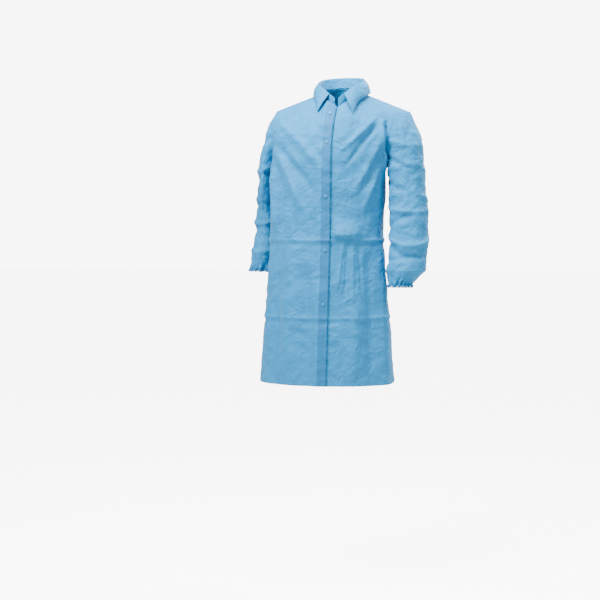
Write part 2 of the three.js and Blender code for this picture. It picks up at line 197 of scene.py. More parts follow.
def section_at(height):
    drop = -height
    if drop < WAIST_DROP:
        share = smooth(drop, UNDERARM_DROP, WAIST_DROP)
        width, depth, shift = (lerp(a, b, share) for a, b in zip(CHEST, WAIST))
    else:
        share = (drop - WAIST_DROP) / (COAT_LENGTH - WAIST_DROP)
        width, depth, shift = (lerp(a, b, share) for a, b in zip(WAIST, HEM))
    return width / 2, depth / 2, shift


def section_point(height, angle):
    half_width, half_depth, shift = section_at(height)
    return Vector(
        (shift + half_width * math.cos(angle), BODY_FORWARD - half_depth * math.sin(angle), height)
    )


def body_side_at(side, height, y):
    half_width, half_depth, shift = section_at(height)
    across = math.sqrt(max(0.0, 1 - ((y - BODY_FORWARD) / half_depth) ** 2))
    return shift + SIDE_SIGN[side] * half_width * across


def placket_edges(side, height):
    left = lerp(PLACKET_TOP, PLACKET_HEM, -height / COAT_LENGTH)
    edges = [left - PLACKET_WIDTH, left]
    return edges if side == "right" else edges[::-1]


def along_front(share, seam, edges):
    before = 1 - PLACKET_SHARE
    if share <= before:
        return lerp(seam, edges[0], share / before)
    return lerp(edges[0], edges[1], (share - before) / PLACKET_SHARE)


def front_angle(side, height, share):
    half_width, _, shift = section_at(height)
    angles = [math.acos((x - shift) / half_width) for x in placket_edges(side, height)]
    return along_front(share, 0 if side == "left" else math.pi, angles)


def neck_point(degrees):
    angle = math.radians(degrees)
    rise = max(0.0, (1 + math.sin(angle)) / 2) ** NECK_RISE_EXPONENT
    return Vector(
        (
            NECK_WIDTH / 2 * math.cos(angle),
            NECK_FORWARD + NECK_DEPTH / 2 * math.sin(angle),
            lerp(-NECK_FRONT_DROP, NECK_BACK_RISE, rise),
        )
    )


def shoulder_tip(side):
    return Vector((SIDE_SIGN[side] * SHOULDER_WIDTH / 2, SHOULDER_BACK, -SHOULDER_DROP[side]))


def back_top_edge(side, share):
    start = 0 if side == "left" else 180
    if share < SHOULDER_SHARE:
        return shoulder_tip(side).lerp(neck_point(start), share / SHOULDER_SHARE)
    return neck_point(lerp(start, 90, (share - SHOULDER_SHARE) / (1 - SHOULDER_SHARE)))


def front_top_edge(side, share):
    start = 0 if side == "left" else -180
    if share < SHOULDER_SHARE:
        return shoulder_tip(side).lerp(neck_point(start), share / SHOULDER_SHARE)
    degrees = [-math.degrees(math.acos(x / (NECK_WIDTH / 2))) for x in placket_edges(side, 0)]
    before = 1 - PLACKET_SHARE
    if share <= before:
        part = (share - SHOULDER_SHARE) / (before - SHOULDER_SHARE)
        return neck_point(lerp(start, degrees[0], part))
    return neck_point(lerp(degrees[0], degrees[1], (share - before) / PLACKET_SHARE))


def yoke_curve(foot, top, middle_y, pull_in, rise):
    control = Vector(((foot.x + top.x) / 2 + pull_in, middle_y, lerp(top.z, foot.z, FULLEST_SHARE)))
    return bezier(foot, control, top, rise)


def upper_front(side, u, v):
    height = lerp(-WAIST_DROP, -UNDERARM_DROP, min(1.0, v / BODY_SHARE))
    foot = section_point(height, front_angle(side, height, u))
    if v <= BODY_SHARE:
        return foot
    inward = min(1.0, u / (1 - PLACKET_SHARE))
    middle_y = BODY_FORWARD - 2 * ARMHOLE_FRONT - CHEST_FULLNESS * inward
    pull_in = -FRONT_PULL_IN * SIDE_SIGN[side] * (1 - inward) ** 2
    rise = (v - BODY_SHARE) / (1 - BODY_SHARE)
    return yoke_curve(foot, front_top_edge(side, u), middle_y, pull_in, rise)


SKIRT_SHARE = 0.5  # share of a whole front's rows below the waist
UNDERARM_ROW = SKIRT_SHARE + (1 - SKIRT_SHARE) * BODY_SHARE
SEAM_EDGE = 0.0012
SEAM_ALLOWANCE = 0.025  # as a share of the front's width
ALLOWANCE_TURN = SEAM_ALLOWANCE / 4  # over which the allowance turns in behind the back
ALLOWANCE_DEPTH = 0.0016
ALLOWANCE_END = (0.06, 0.01)  # how far under the underarm it starts and stops narrowing
ALLOWANCE_LEAST = 0.02  # the share of its width that it keeps above the underarm


def whole_front(side):
    """The front from hem to shoulder: v runs over the skirt and then over the upper front."""

    def at(u, v):
        if u < SEAM_EDGE:
            # The seam allowance lies inside the back from the hem up, and narrows under the underarm.
            kept = 1 - smooth(v, UNDERARM_ROW - ALLOWANCE_END[0], UNDERARM_ROW - ALLOWANCE_END[1])
            u = SEAM_EDGE - (SEAM_EDGE - u) * max(ALLOWANCE_LEAST, kept)
        if v < SKIRT_SHARE:
            height = lerp(-COAT_LENGTH, -WAIST_DROP, v / SKIRT_SHARE)
            return section_point(height, front_angle(side, height, u))
        return upper_front(side, u, (v - SKIRT_SHARE) / (1 - SKIRT_SHARE))

    return at


def back_at(u, v):
    height = lerp(-COAT_LENGTH, -UNDERARM_DROP, min(1.0, v / BACK_BODY_SHARE))
    foot = section_point(height, -math.pi * u)
    if v <= BACK_BODY_SHARE:
        return foot
    side = "left" if u < 0.5 else "right"
    inward = 1 - abs(1 - 2 * u)
    middle_y = 2 * ARMHOLE_REAR + BACK_FULLNESS * inward
    pull_in = -BACK_PULL_IN * SIDE_SIGN[side] * (1 - inward) ** 2
    rise = (v - BACK_BODY_SHARE) / (1 - BACK_BODY_SHARE)
    return yoke_curve(foot, back_top_edge(side, inward), middle_y, pull_in, rise)


def armhole_point(side, share):
    if share <= 0.5:
        return upper_front(side, 0, lerp(BODY_SHARE, 1, share * 2))
    return back_at(0 if side == "left" else 1, lerp(1, BACK_BODY_SHARE, share * 2 - 1))


def sleeve_ring(side, position, share):
    keys = SLEEVE_KEYS[side]
    index = min(len(keys) - 2, int(position))
    part = position - index
    drop, clearance, width, depth, middle = (
        lerp(a, b, part) for a, b in zip(keys[index], keys[index + 1])
    )

    def out(angle):
        return width * (1 - math.cos(angle)) / 2

    def deep(angle):
        return middle - depth / 2 * math.sin(angle)

    inner = clearance + max(
        SIDE_SIGN[side] * body_side_at(side, -drop, deep(angle)) - out(angle)
        for angle in steps(-math.pi / 2, math.pi / 2, 12)
    )
    angle = 2 * math.pi * share
    return Vector((SIDE_SIGN[side] * (inner + out(angle)), deep(angle), -drop))


def sleeve_at(side):
    def at(u, v):
        share = u % 1.0
        if v >= SLEEVE_HEAD_SHARE:
            last = len(SLEEVE_KEYS[side]) - 1
            return sleeve_ring(side, (v - SLEEVE_HEAD_SHARE) / (1 - SLEEVE_HEAD_SHARE) * last, share)
        start = armhole_point(side, share)
        end = sleeve_ring(side, 0, share)
        control = Vector((end.x, end.y, lerp(start.z, end.z, SLEEVE_HEAD_DROP)))
        return bezier(start, control, end, v / SLEEVE_HEAD_SHARE)

    return at


def fold_point(degrees):
    point = neck_point(degrees)
    frontness = max(0.0, -math.sin(math.radians(degrees))) ** FRONTNESS_EXPONENT
    point.x *= FOLD_SPREAD
    point.y = NECK_FORWARD + (point.y - NECK_FORWARD) * lerp(FOLD_SPREAD, 1, frontness)
    point.z += lerp(STAND_HEIGHT, STAND_FRONT_HEIGHT, frontness)
    return point


def round_neck(half_opening, u):
    margin = math.degrees(math.asin(half_opening / (NECK_WIDTH / 2)))
    return lerp(-90 - margin, -450 + margin, u)


def stand_at(u, v):
    degrees = round_neck(COLLAR_OPENING, u)
    return neck_point(degrees).lerp(fold_point(degrees), v)


def leaf_edge_point(share):
    """A smooth curve through the leaf's edge points, by their distance along it."""
    half = [Vector(p) for p in LEAF_EDGE]
    points = [Vector((-p.x, p.y, p.z)) for p in half] + half[-2::-1]
    lengths = [0.0]
    for a, b in zip(points, points[1:]):
        lengths.append(lengths[-1] + (b - a).length)
    target = share * lengths[-1]
    index = next((i for i in range(len(points) - 2) if lengths[i + 1] >= target), len(points) - 2)
    t = (target - lengths[index]) / (lengths[index + 1] - lengths[index])
    before = points[max(0, index - 1)]
    after = points[min(len(points) - 1, index + 2)]
    a, b = points[index], points[index + 1]
    tangent_a = (b - before) / 2
    tangent_b = (after - a) / 2
    return (
        a * (2 * t**3 - 3 * t**2 + 1)
        + tangent_a * (t**3 - 2 * t**2 + t)
        + b * (3 * t**2 - 2 * t**3)
        + tangent_b * (t**3 - t**2)
    )


def leaf_at(u, v):
    fold = fold_point(round_neck(WING_OPENING, u))
    out = Vector((fold.x, fold.y - NECK_FORWARD, 0)).normalized()
    start = fold + out * (SOLID_CLOTH + LAYER_GAP)
    return start.lerp(leaf_edge_point(u), v) + out * LEAF_BOW * math.sin(math.pi * v)


# ---- folds ----

ACROSS = Vector((0.966, 0.259, 0))  # folds on the front are placed across the coat along this direction


RIDGE_RISE = (-0.15, 0.25)  # shares of a ridge's length over which it swells
RIDGE_FALL = (0.7, 1.1)  # and over which it dies away


def ridge(across, height, start, end, width, depth):
    """A soft ridge, or a valley where depth is negative, between two (across, height) points."""
    dx, dz = end[0] - start[0], end[1] - start[1]
    length = math.hypot(dx, dz)
    along = ((across - start[0]) * dx + (height - start[1]) * dz) / length
    off = ((across - start[0]) * dz - (height - start[1]) * dx) / length
    rise = smooth(along, RIDGE_RISE[0] * length, RIDGE_RISE[1] * length)
    fall = smooth(along, RIDGE_FALL[0] * length, RIDGE_FALL[1] * length)
    taper = rise * (1 - fall)
    return depth * taper * math.exp(-((off / width) ** 2))


# Start, end, width, depth
FRONT_FOLDS = [
    # from the left armpit across the chest
    ((0.138, -0.110), (0.152, -0.270), 0.010, -0.016),
    ((0.128, -0.110), (0.132, -0.300), 0.009, 0.008),
    ((0.125, -0.150), (0.035, -0.330), 0.012, 0.007),
    ((0.135, -0.190), (0.062, -0.390), 0.011, 0.006),
    ((0.110, -0.110), (0.012, -0.240), 0.010, -0.005),
    ((0.100, -0.100), (0.000, -0.190), 0.010, 0.005),
    # from the right shoulder towards the placket
    ((-0.200, -0.100), (-0.060, -0.260), 0.014, 0.005),
    ((-0.215, -0.170), (-0.090, -0.330), 0.013, -0.005),
    ((-0.205, -0.210), (-0.120, -0.400), 0.011, 0.005),
    # down the right side of the body
    ((-0.222, -0.240), (-0.214, -0.470), 0.010, 0.008),
    ((-0.200, -0.250), (-0.196, -0.480), 0.009, -0.006),
    ((-0.150, -0.300), (-0.160, -0.480), 0.012, 0.003),
    # the fan of fine folds under the waist crease
    ((0.000, -0.485), (-0.020, -0.650), 0.005, 0.003),
    ((0.014, -0.485), (0.004, -0.680), 0.005, -0.003),
    ((0.030, -0.485), (0.030, -0.690), 0.006, 0.003),
    ((0.048, -0.485), (0.060, -0.660), 0.006, -0.003),
    # the skirt
    ((-0.205, -0.500), (-0.225, -0.960), 0.018, -0.007),
    ((-0.165, -0.490), (-0.175, -0.960), 0.022, 0.006),
    ((-0.120, -0.560), (-0.118, -0.960), 0.018, -0.004),
    ((-0.085, -0.620), (-0.080, -0.960), 0.016, 0.004),
    ((0.040, -0.640), (0.030, -0.960), 0.020, 0.005),
    ((0.085, -0.520), (0.090, -0.960), 0.018, -0.006),
    ((0.125, -0.480), (0.140, -0.960), 0.016, 0.007),
]
PACKING_CREASES = (-0.481, -0.729)
CREASE_WIDTH = 0.006
CREASE_HEIGHT = 0.0022
CREASE_VALLEY = 0.0012
VALLEY_DROP, VALLEY_SPREAD = 2.4, 1.4  # in crease widths
SHELF_TOP, SHELF_FOOT = -0.409, -0.481  # the fold that bulges out over the waist crease
SHELF_LEFT, SHELF_RIGHT = -0.045, 0.068
SHELF_LEFT_RISE, SHELF_RIGHT_FALL = 0.03, 0.04
SHELF_LIP = 0.018  # how far above its foot it stands out most
SHELF_DEPTH = 0.011


def packing_crease(height, middle):
    """A sharp line where the coat was folded in its pack, with a shallow valley under it."""
    off = (height - middle) / CREASE_WIDTH
    line = CREASE_HEIGHT * math.exp(-abs(off))
    valley = CREASE_VALLEY * math.exp(-(((off + VALLEY_DROP) / VALLEY_SPREAD) ** 2))
    return line - valley


def shelf(across, height):
    if not SHELF_FOOT < height < SHELF_TOP:
        return 0.0
    rise = smooth(across, SHELF_LEFT, SHELF_LEFT + SHELF_LEFT_RISE)
    side = rise * (1 - smooth(across, SHELF_RIGHT - SHELF_RIGHT_FALL, SHELF_RIGHT))
    lip = SHELF_FOOT + SHELF_LIP
    if height > lip:
        return SHELF_DEPTH * side * (1 - smooth(height, lip, SHELF_TOP))
    return SHELF_DEPTH * side * smooth(height, SHELF_FOOT, lip)


# Depth, scale and seed of each layer of unevenness
BODY_CRUMPLES = ((0.0022, 9, 1.3), (0.0011, 24, 4.1))
SLEEVE_CRUMPLES = ((0.002, 13, 2.2), (0.0012, 34, 5.7))
LEAF_CRUMPLES = ((0.0012, 22, 3.3),)
SEED_STEPS = (1, 1.7, 2.3)
CRUMPLE_LEVEL = 0.55  # taken off, so that the unevenness goes both ways


def crumple(point, scale, seed):
    """Cloth-like unevenness from ridged noise."""
    place = Vector(point) * scale + Vector([step * seed for step in SEED_STEPS])
    return 1 - 2 * abs(noise.noise(place)) - CRUMPLE_LEVEL


def crumples(point, layers):
    return sum(depth * crumple(point, scale, seed) for depth, scale, seed in layers)


BACK_FOLD_DEPTHS = (0.002, 0.008)  # at the shoulders and at the hem
BACK_FOLD_DROP = 0.2  # where the folds start to deepen
BACK_FOLD_PITCH = 42  # radians to a metre
BACK_FOLD_WANDER = 3
BACK_FOLD_NOISE = (4, 3.1, 1.5)  # scale across, seed and scale upwards
BACK_START = 0.06  # how far behind the middle the back's folds are at full depth


def back_fold(point):
    """Soft vertical folds down the back, deeper towards the hem."""
    depth = lerp(*BACK_FOLD_DEPTHS, smooth(-point.z, BACK_FOLD_DROP, COAT_LENGTH))
    across, seed, up = BACK_FOLD_NOISE
    wander = BACK_FOLD_WANDER * noise.noise(Vector((point.x * across, seed, point.z * up)))
    wave = math.sin(point.x * BACK_FOLD_PITCH + wander)
    return depth * wave * smooth(point.y, 0.0, BACK_START)


FRONT_START = 0.05  # how far in front of the middle the front's folds are at full depth


def body_fold(point):
    """How far the cloth of the body stands out from its smooth shape."""
    across = point.dot(ACROSS)
    front = smooth(-point.y, 0.0, FRONT_START)
    out = 0.0
    if front > 0:
        for start, end, width, depth in FRONT_FOLDS:
            out += ridge(across, point.z, start, end, width, depth)
        out += shelf(across, point.z)
        out *= front
    out += back_fold(point)
    out += sum(packing_crease(point.z, middle) for middle in PACKING_CREASES)
    out += crumples(point, BODY_CRUMPLES)
    return out * settings().fold_depth


# Height, tilt, width, depth, and an angle that sets the side each crease is highest and deepest on
SLEEVE_FOLDS = {
    "left": [
        (-0.160, 0.020, 0.011, -0.005, -0.6),
        (-0.215, 0.035, 0.010, 0.006, -0.9),
        (-0.262, -0.020, 0.010, -0.005, -1.2),
        (-0.305, 0.030, 0.011, 0.006, -0.7),
        (-0.350, -0.022, 0.009, -0.005, -1.5),
        (-0.380, 0.012, 0.008, -0.007, -1.0),
        (-0.425, -0.030, 0.010, 0.006, -0.8),
        (-0.468, 0.030, 0.009, -0.008, -1.3),
        (-0.500, 0.035, 0.011, 0.007, -1.0),
        (-0.545, -0.015, 0.010, 0.006, -0.9),
    ],
    "right": [
        (-0.170, -0.020, 0.010, 0.005, -1.6),
        (-0.230, 0.030, 0.010, -0.005, -1.2),
        (-0.290, -0.028, 0.010, 0.006, -1.9),
        (-0.335, 0.020, 0.008, -0.005, -1.5),
        (-0.372, -0.015, 0.008, 0.006, -1.8),
        (-0.410, 0.020, 0.008, -0.006, -1.3),
        (-0.455, -0.020, 0.010, 0.005, -1.7),
        (-0.505, 0.018, 0.009, -0.005, -1.4),
    ],
}


SLEEVE_FOLD_SHARE = 0.6
SLEEVE_FOLD_TURN = 1.2 - math.pi / 2
HEAD_FADE = 0.07  # the folds grow from nothing over this share of the sleeve, at the armhole
GATHER_START, GATHER_FULL = 0.76, 0.93
GATHER_DEPTH = 0.0026
GATHER_COUNT = 15
GATHER_SWAY, GATHER_SWAYS = 2.5, 3
GATHER_LEAN = 6


def sleeve_fold(side):
    def fold(point, u, v):
        angle = 2 * math.pi * u
        out = 0.0
        for height, tilt, width, depth, facing in SLEEVE_FOLDS[side]:
            off = point.z - height - tilt * math.cos(angle - facing)
            around = 0.5 + 0.5 * math.cos(angle + facing + SLEEVE_FOLD_TURN)
            out += SLEEVE_FOLD_SHARE * depth * around * math.exp(-((off / width) ** 2))
        out += crumples(point, SLEEVE_CRUMPLES)
        gather = smooth(v, GATHER_START, GATHER_FULL)
        sway = GATHER_SWAY * math.sin(angle * GATHER_SWAYS)
        out += gather * GATHER_DEPTH * math.sin(angle * GATHER_COUNT + sway + v * GATHER_LEAN)
        return out * smooth(v, 0.0, HEAD_FADE) * settings().fold_depth

    return fold


# ---- cloth meshes ----


NORMAL_STEP = 2e-3
MERGE_DISTANCE = 1e-5
ROWS_COMPARED = 12


def surface_normal(at, u, v, turn):
    step = NORMAL_STEP
    du = at(min(1, u + step), v) - at(u if u < 0 else max(0, u - step), v)
    dv = at(u, min(1, v + step)) - at(u, max(0, v - step))
    return (du.cross(dv) * turn).normalized()


def cloth_object(name, at, turn, us, vs, fold=None, lift=None, thickness=None, ring=False):
    """A sheet through the points of a surface, moved out by its folds and given a thickness."""
    bm = bmesh.new()
    bmesh.ops.create_grid(bm, x_segments=len(us) - 1, y_segments=len(vs) - 1, size=1)
    bm.verts.ensure_lookup_table()
    for vert in bm.verts:
        column = round((vert.co.x + 1) / 2 * (len(us) - 1))
        row = round((vert.co.y + 1) / 2 * (len(vs) - 1))
        u, v = us[column], vs[row]
        point = at(u, v)
        normal = surface_normal(at, u, v, turn)
        out = (fold(point, u, v) if fold else 0) + (lift(u, v) if lift else 0)
        vert.co = point + normal * out
    if ring:
        bmesh.ops.remove_doubles(bm, verts=bm.verts, dist=MERGE_DISTANCE)
    bm.normal_update()
    # One face is compared with the surface near it, to turn the whole sheet face out.
    middle = bm.faces[:][len(bm.faces) // 2]
    centre = middle.calc_center_median()
    nearest = min(
        ((u, v) for u in us for v in vs[:: max(1, len(vs) // ROWS_COMPARED)]),
        key=lambda uv: (at(*uv) - centre).length,
    )
    if middle.normal.dot(surface_normal(at, nearest[0], nearest[1], turn)) < 0:
        bmesh.ops.reverse_faces(bm, faces=bm.faces)
    mesh = bpy.data.meshes.new(name)
    bm.to_mesh(mesh)
    bm.free()
    obj = bpy.data.objects.new(name, mesh)
    bpy.context.scene.collection.objects.link(obj)
    for polygon in mesh.polygons:
        polygon.use_smooth = True
    solid = obj.modifiers.new("Thickness", "SOLIDIFY")
    solid.thickness = thickness or settings().cloth_thickness
    solid.offset = 0
    return obj


ARMHOLE_FADE = 0.14  # the share of a panel's width next to the armhole
FADE_ROWS = (0.05, 0.02)  # how far under and over the underarm the fade sets in
TOP_FADE = 0.93


def armhole_fade(body_share):
    """1 over most of a panel, and 0 along the armhole and the top edge."""

    def fade(u, v):
        side = smooth(u, 0.0, ARMHOLE_FADE) if v > body_share else 1.0
        side = lerp(1.0, side, smooth(v, body_share - FADE_ROWS[0], body_share + FADE_ROWS[1]))
        return side * (1 - smooth(v, TOP_FADE, 1.0))

    return fade


# ---- materials ----


CREASE_CELLS = ((16, 1.0), (44, 0.45))  # scale and weight of each size of crease
BODY_MOTTLE, FACING_MOTTLE = 0.88, 0.9  # how much darker the cloth is in its dark places
BODY_BUMP, FACING_BUMP = 0.35, 0.2


def cloth_texture_group():
    """Bump heights and a colour mask for creased non-woven cloth."""
    name = "Creased cloth"
    if name in bpy.data.node_groups:
        return bpy.data.node_groups[name]
    group = bpy.data.node_groups.new(name, "ShaderNodeTree")
    group.interface.new_socket("Height", in_out="OUTPUT", socket_type="NodeSocketFloat")
    group.interface.new_socket("Mottle", in_out="OUTPUT", socket_type="NodeSocketFloat")
    nodes, links = group.nodes, group.links
    out = nodes.new("NodeGroupOutput")
    place = nodes.new("ShaderNodeTexCoord")
    bend = nodes.new("ShaderNodeTexNoise")
    bend.inputs["Scale"].default_value = 9
    bend.inputs["Detail"].default_value = 3
    shifted = nodes.new("ShaderNodeMix")
    shifted.data_type = "RGBA"
    shifted.inputs["Factor"].default_value = 0.12
    links.new(place.outputs["Object"], bend.inputs["Vector"])
    links.new(place.outputs["Object"], shifted.inputs["A"])
    links.new(bend.outputs["Color"], shifted.inputs["B"])
    total = None
    for scale, weight in CREASE_CELLS:
        cells = nodes.new("ShaderNodeTexVoronoi")
        cells.feature = "DISTANCE_TO_EDGE"
        cells.inputs["Scale"].default_value = scale
        links.new(shifted.outputs["Result"], cells.inputs["Vector"])
        part = nodes.new("ShaderNodeMath")
        part.operation = "MULTIPLY"
        part.inputs[1].default_value = weight
        links.new(cells.outputs["Distance"], part.inputs[0])
        if total is None:
            total = part
            continue
        both = nodes.new("ShaderNodeMath")
        both.operation = "ADD"
        links.new(total.outputs[0], both.inputs[0])
        links.new(part.outputs[0], both.inputs[1])
        total = both
    grain = nodes.new("ShaderNodeTexNoise")
    grain.inputs["Scale"].default_value = 420
    grain.inputs["Detail"].default_value = 2
    links.new(place.outputs["Object"], grain.inputs["Vector"])
    fine = nodes.new("ShaderNodeMath")
    fine.operation = "MULTIPLY_ADD"
    fine.inputs[1].default_value = 0.05
    links.new(grain.outputs["Fac"], fine.inputs[0])
    links.new(total.outputs[0], fine.inputs[2])
    links.new(fine.outputs[0], out.inputs["Height"])
    mottle = nodes.new("ShaderNodeTexNoise")
    mottle.inputs["Scale"].default_value = 30
    mottle.inputs["Detail"].default_value = 5
    links.new(place.outputs["Object"], mottle.inputs["Vector"])
    links.new(mottle.outputs["Fac"], out.inputs["Mottle"])
    return group


def cloth_material(name, light, dark, bump):
    if name in bpy.data.materials:
        return bpy.data.materials[name]
    mat = bpy.data.materials.new(name)
    mat.use_nodes = True
    nodes, links = mat.node_tree.nodes, mat.node_tree.links
    shader = nodes["Principled BSDF"]
    shader.inputs["Roughness"].default_value = 0.72
    shader.inputs["Specular IOR Level"].default_value = 0.3
    shader.inputs["Sheen Weight"].default_value = 0.1
    shader.inputs["Sheen Roughness"].default_value = 0.4
    shader.inputs["Sheen Tint"].default_value = (0.6, 0.9, 1.0, 1.0)
    texture = nodes.new("ShaderNodeGroup")
    texture.node_tree = cloth_texture_group()
    ramp = nodes.new("ShaderNodeValToRGB")
    ramp.color_ramp.elements[0].position = 0.35
    ramp.color_ramp.elements[0].color = (*dark, 1)
    ramp.color_ramp.elements[1].position = 0.65
    ramp.color_ramp.elements[1].color = (*light, 1)
    links.new(texture.outputs["Mottle"], ramp.inputs["Fac"])
    links.new(ramp.outputs["Color"], shader.inputs["Base Color"])
    bumped = nodes.new("ShaderNodeBump")
    bumped.inputs["Strength"].default_value = bump
    bumped.inputs["Distance"].default_value = 0.02
    links.new(texture.outputs["Height"], bumped.inputs["Height"])
    links.new(bumped.outputs["Normal"], shader.inputs["Normal"])
    return mat


def shade(colour, factor):
    return tuple(min(1.0, c * factor) for c in colour)


def body_cloth():
    light = tuple(settings().cloth_colour)
    return cloth_material("Non-woven cloth", light, shade(light, BODY_MOTTLE), BODY_BUMP)


# The doubled cloth's darker material, partly painted shade, for the placket band, the facings and the
# cuff casings.
def doubled_shade_cloth():
    light = tuple(settings().doubled_shade_colour)
    return cloth_material("Doubled cloth", light, shade(light, FACING_MOTTLE), FACING_BUMP)


def plain_material(name, colour, roughness):
    """Moulded plastic or elastic, with a faint unevenness."""
    if name in bpy.data.materials:
        return bpy.data.materials[name]
    mat = bpy.data.materials.new(name)
    mat.use_nodes = True
    nodes, links = mat.node_tree.nodes, mat.node_tree.links
    shader = nodes["Principled BSDF"]
    place = nodes.new("ShaderNodeTexCoord")
    uneven = nodes.new("ShaderNodeTexNoise")
    uneven.inputs["Scale"].default_value = 300
    links.new(place.outputs["Object"], uneven.inputs["Vector"])
    ramp = nodes.new("ShaderNodeValToRGB")
    ramp.color_ramp.elements[0].color = (*shade(colour, 0.92), 1)
    ramp.color_ramp.elements[1].color = (*colour, 1)
    links.new(uneven.outputs["Fac"], ramp.inputs["Fac"])
    links.new(ramp.outputs["Color"], shader.inputs["Base Color"])
    shader.inputs["Roughness"].default_value = roughness
    return mat


def dress(obj, mat):
    obj.data.materials.clear()
    obj.data.materials.append(mat)


# ---- the pieces ----

FRONT_COLUMNS, PLACKET_COLUMNS, FRONT_ROWS = 86, 8, 300
FRONT_TOP = 0.9975  # just under the seam with the collar and the shoulder
BACK_COLUMNS, BACK_ROWS = 180, 260
BACK_MARGIN = 0.0005
BACK_TOP = 0.998
STAND_COLUMNS, STAND_ROWS = 96, 8
STAND_FOOT = 0.03
LEAF_COLUMNS, LEAF_ROWS = 160, 24
LEAF_SMOOTH_SHARE = 0.3
COLLAR_CLOTH = 0.001
RING_COLUMNS, SLEEVE_ROWS, CASING_ROWS = 128, 170, 12


def blend_front(obj):
    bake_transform(obj)


def over_lift(side):
    def lift(u, v):
        if u < SEAM_EDGE:
            return -ALLOWANCE_DEPTH * smooth(SEAM_EDGE - u, 0, ALLOWANCE_TURN)
        if side == "left":
            return 0.0
        return OVER_LIFT * smooth(u, 1 - PLACKET_SHARE - RAMP_SHARE, 1 - PLACKET_SHARE)

    return lift


def make_front(side):
    fade = armhole_fade(UNDERARM_ROW)

    def fold(point, u, v):
        return body_fold(point) * fade(max(0.0, u), v)

    us = [SEAM_EDGE - SEAM_ALLOWANCE, SEAM_EDGE - ALLOWANCE_TURN]
    placket_us = steps(1 - PLACKET_SHARE, 1, PLACKET_COLUMNS)
    us += steps(SEAM_EDGE, 1 - PLACKET_SHARE, FRONT_COLUMNS) + placket_us[1:]
    vs = steps(0, FRONT_TOP, FRONT_ROWS)
    turn = -SIDE_SIGN[side]
    at = whole_front(side)
    cloth = cloth_object(f"{side}_front_cloth", at, turn, us, vs, fold, over_lift(side))
    dress(cloth, body_cloth())
    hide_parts(f"{side}_front_upper", f"{side}_front_skirt")
    if side == "right":
        # The over front's placket band gets the darker doubled colour, partly painted shade.
        cloth.data.materials.append(doubled_shade_cloth())
        for polygon in cloth.data.polygons:
            column = polygon.index % (len(us) - 1)
            polygon.material_index = int(column >= len(us) - 1 - PLACKET_COLUMNS)
    blend_front(cloth)

    depth = (SOLID_CLOTH + SOLID_FACING) / 2 + LAYER_GAP
    lift = over_lift(side)
    facing = cloth_object(
        f"{side}_placket_facing",
        at,
        turn,
        placket_us,
        vs,
        fold,
        lambda u, v: lift(u, v) - depth,
    )
    # The facing gets the darker doubled colour, partly painted shade.
    dress(facing, doubled_shade_cloth())
    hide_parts(f"{side}_placket_facing_upper", f"{side}_placket_facing_skirt")
    blend_front(facing)


def make_back():
    side_fade = armhole_fade(BACK_BODY_SHARE)

    def fold(point, u, v):
        return body_fold(point) * side_fade(1 - abs(1 - 2 * u), v)

    us = steps(BACK_MARGIN, 1 - BACK_MARGIN, BACK_COLUMNS)
    vs = steps(0, BACK_TOP, BACK_ROWS)
    cloth = cloth_object("back_cloth", back_at, 1, us, vs, fold)
    dress(cloth, body_cloth())
    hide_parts("back_panel")
    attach(cloth, "body")


def make_collar():
    us = steps(0, 1, STAND_COLUMNS)
    vs = steps(STAND_FOOT, 1, STAND_ROWS)
    stand = cloth_object("collar_stand_cloth", stand_at, -1, us, vs, thickness=COLLAR_CLOTH)
    dress(stand, body_cloth())
    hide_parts("collar_stand")
    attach(stand, "body")

    def fold(point, u, v):
        return crumples(point, LEAF_CRUMPLES) * smooth(v, 0.0, LEAF_SMOOTH_SHARE)

    us = steps(0, 1, LEAF_COLUMNS)
    vs = steps(0, 1, LEAF_ROWS)
    leaf = cloth_object("collar_leaf_cloth", leaf_at, 1, us, vs, fold, thickness=COLLAR_CLOTH)
    dress(leaf, body_cloth())
    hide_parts("collar_leaf")
    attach(leaf, "body")


def make_sleeve(side):
    at = sleeve_at(side)
    turn = SIDE_SIGN[side]
    fold = sleeve_fold(side)
    arm = f"{side}_arm"
    us = steps(0, 1, RING_COLUMNS)
    vs = steps(0, 1, SLEEVE_ROWS)
    cloth = cloth_object(f"{side}_sleeve_cloth", at, turn, us, vs, fold, ring=True)
    dress(cloth, body_cloth())
    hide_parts(f"{side}_sleeve")
    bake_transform(cloth)

    depth = SOLID_CLOTH + 2 * SOLID_FACING + 2 * LAYER_GAP
    casing = cloth_object(
        f"{side}_cuff_casing_cloth",
        at,
        turn,
        us,
        steps(CASING_START, 1, CASING_ROWS),
        fold,
        lambda u, v: -depth,
        ring=True,
    )
    # The casing inside the cuff gets the darker doubled colour, partly painted shade.
    dress(casing, doubled_shade_cloth())
    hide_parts(f"{side}_cuff_casing")
    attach(casing, arm)


SNAP_COLOUR, SNAP_ROUGHNESS = (0.0, 0.155, 0.350), 0.45
ELASTIC_COLOUR, ELASTIC_ROUGHNESS = (0.72, 0.76, 0.80), 0.8


def finish_snaps():
    snap = plain_material("Snap plastic", SNAP_COLOUR, SNAP_ROUGHNESS)
    elastic = plain_material("Elastic", ELASTIC_COLOUR, ELASTIC_ROUGHNESS)
    for name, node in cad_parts.items():
        if name.startswith("snap_"):
            node.data.materials.clear()
            node.data.materials.append(snap)
        elif name.endswith("_cuff_elastic"):
            node.data.materials.clear()
            node.data.materials.append(elastic)


# ---- the stage ----

CAMERA_AZIMUTH = math.radians(15)
CAMERA_ELEVATION = math.radians(3)
CAMERA_DISTANCE = 5.0
FRAME_HEIGHT = 1.962
AIM_ACROSS = -0.137
AIM_HEIGHT = -0.677
FLOOR_HEIGHT = -1.595
SOFT_LIGHT = 0.6
WALL_BRIGHTNESS = 8.0
FLOOR_BRIGHTNESS = 6.8
FLOOR_SIZE = 30
SENSOR_WIDTH = 36
LIGHT_AIM = (0, 0, -0.45)
